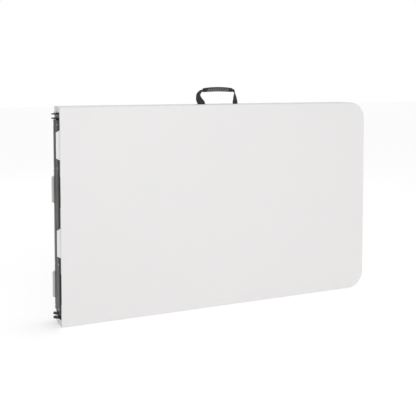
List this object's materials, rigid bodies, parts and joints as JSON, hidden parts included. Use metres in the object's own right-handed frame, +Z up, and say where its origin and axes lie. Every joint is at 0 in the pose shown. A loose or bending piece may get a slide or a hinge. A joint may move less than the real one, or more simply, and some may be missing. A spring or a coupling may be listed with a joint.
{
  "type": "folding table",
  "caption": "White fold-in-half table with steel leg frames stored inside, folded flat and standing on its long edge with the webbing handle up.",
  "frame": {"origin": "under the middle of the folded table's box, on the surface it stands on", "axes": "+X along the folded length, from the fold to the rounded end; -Y out of the front half's table surface; +Z up, to the handle"},
  "size_m": [1.2315, 0.092, 0.802],
  "materials": {
    "white_plastic": "fine pebbled polyethylene",
    "coated_steel": "dark grey powder coat",
    "zinc_steel": "zinc plated",
    "black_plastic": "satin",
    "webbing": "woven black webbing"
  },
  "bodies": {
    "front_half": {"front_table_top": "white_plastic", "front_end_channel": "coated_steel", "front_brace_rail": "coated_steel", "front_brace_rail_pin": "zinc_steel", "front_side_rail_1": "coated_steel", "front_side_rail_2": "coated_steel", "front_hinge_bracket_1": "coated_steel", "front_hinge_bracket_2": "coated_steel", "front_leg_bracket_1": "coated_steel", "front_leg_bracket_2": "coated_steel", "front_leg_clip_1": "black_plastic", "front_leg_clip_2": "black_plastic", "fold_pin_1": "zinc_steel", "fold_pin_2": "zinc_steel", "handle_strap_tail_1": "webbing", "handle_strap_tail_2": "webbing", "handle_anchor_plate_1": "coated_steel", "handle_anchor_plate_2": "coated_steel"},
    "back_half": {"back_table_top": "white_plastic", "back_end_channel": "coated_steel", "back_brace_rail": "coated_steel", "back_brace_rail_pin": "zinc_steel", "back_side_rail_1": "coated_steel", "back_side_rail_2": "coated_steel", "back_hinge_bracket_1": "coated_steel", "back_hinge_bracket_2": "coated_steel", "back_leg_bracket_1": "coated_steel", "back_leg_bracket_2": "coated_steel", "back_leg_clip_1": "black_plastic", "back_leg_clip_2": "black_plastic"},
    "front_leg": {"front_leg_pivot_tube": "coated_steel", "front_leg_crossbar": "coated_steel", "front_leg_tube_1": "coated_steel", "front_leg_tube_2": "coated_steel", "front_foot_cap_1": "black_plastic", "front_foot_cap_2": "black_plastic"},
    "front_upper_link": {"front_brace_upper_link": "coated_steel", "front_brace_elbow_rivet": "zinc_steel"},
    "front_lower_link": {"front_brace_lower_link": "coated_steel"},
    "front_lock_ring": {"front_brace_lock_ring": "zinc_steel"},
    "back_leg": {"back_leg_pivot_tube": "coated_steel", "back_leg_crossbar": "coated_steel", "back_leg_tube_1": "coated_steel", "back_leg_tube_2": "coated_steel", "back_foot_cap_1": "black_plastic", "back_foot_cap_2": "black_plastic"},
    "back_upper_link": {"back_brace_upper_link": "coated_steel", "back_brace_elbow_rivet": "zinc_steel"},
    "back_lower_link": {"back_brace_lower_link": "coated_steel"},
    "back_lock_ring": {"back_brace_lock_ring": "zinc_steel"},
    "handle": {"handle_grip": "webbing", "handle_strap_1": "webbing", "handle_strap_2": "webbing"}
  },
  "joints": [
    {"name": "centre_fold", "type": "hinge", "parent": "front_half", "child": "back_half", "pos_m": [-0.60225, 0, 0.37], "axis": [0, 0, 1], "range_deg": [0, 180]},
    {"name": "handle_swing", "type": "hinge", "parent": "front_half", "child": "handle", "pos_m": [-0.00601, -0.0024, 0.7422], "axis": [1, 0, 0], "range_deg": [-78, 78]},
    {"name": "front_leg_swing", "type": "hinge", "parent": "front_half", "child": "front_leg", "pos_m": [0.51375, -0.014, 0.37], "axis": [0, 0, 1], "range_deg": [-90, 0]},
    {"name": "front_brace_top_pivot", "type": "hinge", "parent": "front_half", "child": "front_upper_link", "pos_m": [0.03375, -0.014, 0.37], "axis": [0, 0, 1], "range_deg": [-145.5, 0]},
    {"name": "front_brace_elbow", "type": "hinge", "parent": "front_upper_link", "child": "front_lower_link", "pos_m": [-0.1825, -0.014, 0.37], "axis": [0, 0, 1], "range_deg": [0, 180]},
    {"name": "front_lock_ring_slide", "type": "slide", "parent": "front_lower_link", "child": "front_lock_ring", "axis": [-1, 0, 0], "range_m": [0, 0.2521]},
    {"name": "back_leg_swing", "type": "hinge", "parent": "back_half", "child": "back_leg", "pos_m": [0.51375, 0.014, 0.37], "axis": [0, 0, 1], "range_deg": [0, 90]},
    {"name": "back_brace_top_pivot", "type": "hinge", "parent": "back_half", "child": "back_upper_link", "pos_m": [0.03375, 0.014, 0.37], "axis": [0, 0, 1], "range_deg": [0, 145.5]},
    {"name": "back_brace_elbow", "type": "hinge", "parent": "back_upper_link", "child": "back_lower_link", "pos_m": [-0.1825, 0.014, 0.37], "axis": [0, 0, 1], "range_deg": [-180, 0]},
    {"name": "back_lock_ring_slide", "type": "slide", "parent": "back_lower_link", "child": "back_lock_ring", "axis": [-1, 0, 0], "range_m": [0, 0.2521]}
  ],
  "couplings": [
    {"joint": "front_leg_swing", "follows": "centre_fold", "ratio": -0.5},
    {"joint": "front_brace_top_pivot", "follows": "centre_fold", "ratio": -0.80829},
    {"joint": "front_brace_elbow", "follows": "centre_fold", "ratio": 1},
    {"joint": "front_lock_ring_slide", "follows": "centre_fold", "m_per_rad": 0.080214},
    {"joint": "back_leg_swing", "follows": "centre_fold", "ratio": 0.5},
    {"joint": "back_brace_top_pivot", "follows": "centre_fold", "ratio": 0.80829},
    {"joint": "back_brace_elbow", "follows": "centre_fold", "ratio": -1},
    {"joint": "back_lock_ring_slide", "follows": "centre_fold", "m_per_rad": 0.080214}
  ]
}
